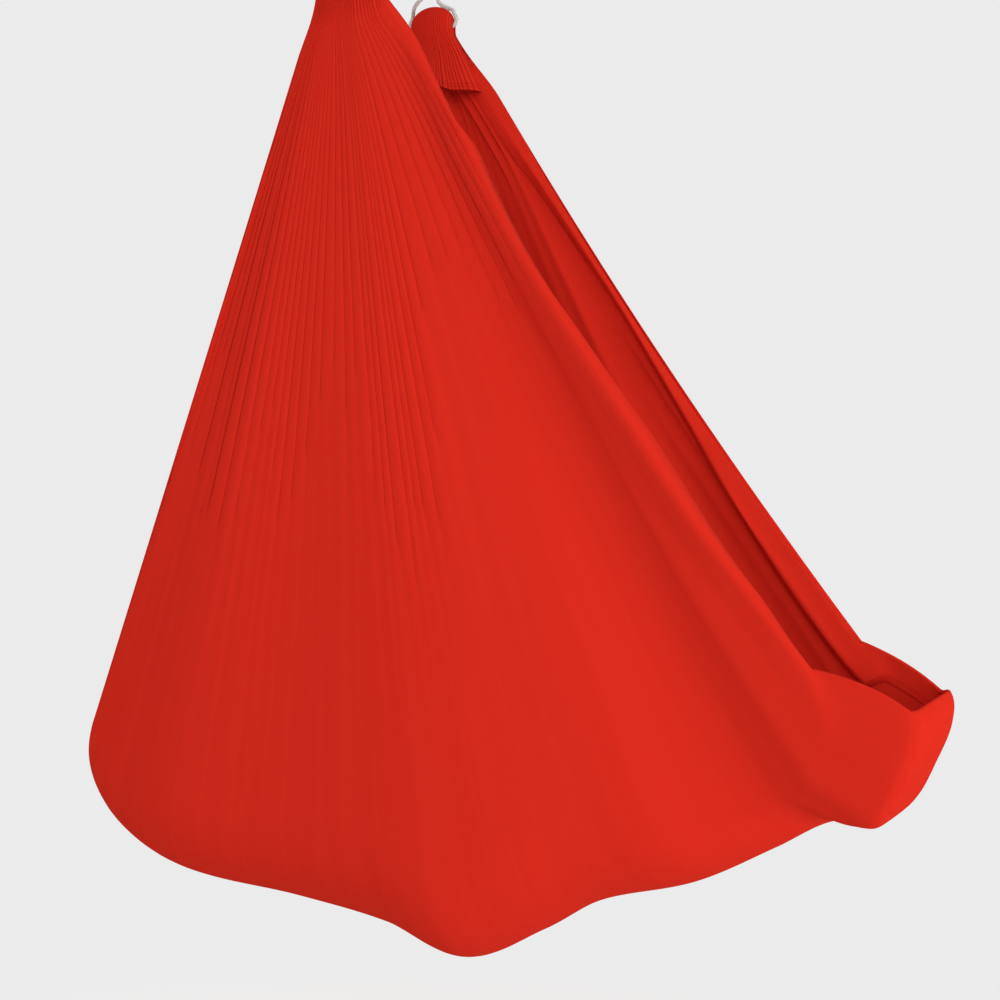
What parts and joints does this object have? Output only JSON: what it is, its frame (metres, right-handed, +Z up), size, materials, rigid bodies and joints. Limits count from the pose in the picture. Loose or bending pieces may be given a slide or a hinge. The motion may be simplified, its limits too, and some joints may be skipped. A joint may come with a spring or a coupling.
{
  "type": "aerial yoga hammock",
  "caption": "Aerial yoga hammock: a stretchy cloth gathered at both ends, hung from ceiling plates by webbing straps and carabiners, spread open as a cocoon",
  "frame": {"origin": "centre of the front ceiling plate's top face", "axes": "+Z up, +X along the bed towards the feet, +Y from the front ceiling point to the back one"},
  "size_m": [1.6723, 0.496, 2.3883],
  "materials": {
    "tricot": "matte",
    "webbing": "matte",
    "sling_rope": "matte",
    "plate_steel": "satin",
    "carabiner_steel": "satin",
    "spring_steel": "satin",
    "sleeve_alloy": "satin"
  },
  "bodies": {
    "ceiling_plates": {"front_ceiling_plate": "plate_steel", "back_ceiling_plate": "plate_steel"},
    "upper_carabiners": {"front_upper_carabiner_frame": "carabiner_steel", "front_upper_carabiner_rivet": "plate_steel", "back_upper_carabiner_frame": "carabiner_steel", "back_upper_carabiner_rivet": "plate_steel"},
    "front_strap": {"front_webbing_strap": "webbing"},
    "back_strap": {"back_webbing_strap": "webbing"},
    "hammock": {"hammock_cloth": "tricot", "front_sling": "sling_rope", "back_sling": "sling_rope", "front_lower_carabiner_frame": "carabiner_steel", "front_lower_carabiner_rivet": "plate_steel", "back_lower_carabiner_frame": "carabiner_steel", "back_lower_carabiner_rivet": "plate_steel"},
    "front_upper_gate": {"front_upper_carabiner_gate": "carabiner_steel", "front_upper_carabiner_spring": "spring_steel"},
    "front_upper_sleeve": {"front_upper_carabiner_sleeve": "sleeve_alloy"},
    "front_lower_gate": {"front_lower_carabiner_gate": "carabiner_steel", "front_lower_carabiner_spring": "spring_steel"},
    "front_lower_sleeve": {"front_lower_carabiner_sleeve": "sleeve_alloy"},
    "back_upper_gate": {"back_upper_carabiner_gate": "carabiner_steel", "back_upper_carabiner_spring": "spring_steel"},
    "back_upper_sleeve": {"back_upper_carabiner_sleeve": "sleeve_alloy"},
    "back_lower_gate": {"back_lower_carabiner_gate": "carabiner_steel", "back_lower_carabiner_spring": "spring_steel"},
    "back_lower_sleeve": {"back_lower_carabiner_sleeve": "sleeve_alloy"}
  },
  "joints": [
    {"name": "hammock_swing", "type": "hinge", "parent": "ceiling_plates", "child": "upper_carabiners", "pos_m": [0, 0, -0.04], "axis": [0, 1, 0], "range_deg": [-40, 40]},
    {"name": "front_strap_sway", "type": "hinge", "parent": "upper_carabiners", "child": "front_strap", "pos_m": [0, 0, -0.1422], "axis": [1, 0, 0], "range_deg": [-25, 25]},
    {"name": "back_strap_sway", "type": "hinge", "parent": "upper_carabiners", "child": "back_strap", "pos_m": [0, 0.38, -0.1422], "axis": [1, 0, 0], "range_deg": [-25, 25]},
    {"name": "hammock_level", "type": "hinge", "parent": "front_strap", "child": "hammock", "pos_m": [0, 0, -0.3806], "axis": [1, 0, 0], "range_deg": [-25, 25]},
    {"name": "front_upper_gate_hinge", "type": "hinge", "parent": "upper_carabiners", "child": "front_upper_gate", "pos_m": [0.0265, 0, -0.1087], "axis": [0, -1, 0], "range_deg": [0, 26], "stiffness_Nm_per_rad": 0.155, "springref_deg": -29.79},
    {"name": "front_upper_sleeve_slide", "type": "slide", "parent": "front_upper_gate", "child": "front_upper_sleeve", "axis": [0, 0, 1], "range_m": [0, 0.01]},
    {"name": "front_lower_gate_hinge", "type": "hinge", "parent": "hammock", "child": "front_lower_gate", "pos_m": [0.0265, 0, -0.4601], "axis": [0, -1, 0], "range_deg": [0, 26], "stiffness_Nm_per_rad": 0.155, "springref_deg": -29.79},
    {"name": "front_lower_sleeve_slide", "type": "slide", "parent": "front_lower_gate", "child": "front_lower_sleeve", "axis": [0, 0, 1], "range_m": [0, 0.01]},
    {"name": "back_upper_gate_hinge", "type": "hinge", "parent": "upper_carabiners", "child": "back_upper_gate", "pos_m": [0.0265, 0.38, -0.1087], "axis": [0, -1, 0], "range_deg": [0, 26], "stiffness_Nm_per_rad": 0.155, "springref_deg": -29.79},
    {"name": "back_upper_sleeve_slide", "type": "slide", "parent": "back_upper_gate", "child": "back_upper_sleeve", "axis": [0, 0, 1], "range_m": [0, 0.01]},
    {"name": "back_lower_gate_hinge", "type": "hinge", "parent": "hammock", "child": "back_lower_gate", "pos_m": [0.0265, 0.38, -0.4601], "axis": [0, -1, 0], "range_deg": [0, 26], "stiffness_Nm_per_rad": 0.155, "springref_deg": -29.79},
    {"name": "back_lower_sleeve_slide", "type": "slide", "parent": "back_lower_gate", "child": "back_lower_sleeve", "axis": [0, 0, 1], "range_m": [0, 0.01]}
  ],
  "couplings": [
    {"joint": "back_strap_sway", "follows": "front_strap_sway", "ratio": 1},
    {"joint": "hammock_level", "follows": "front_strap_sway", "ratio": -1}
  ]
}
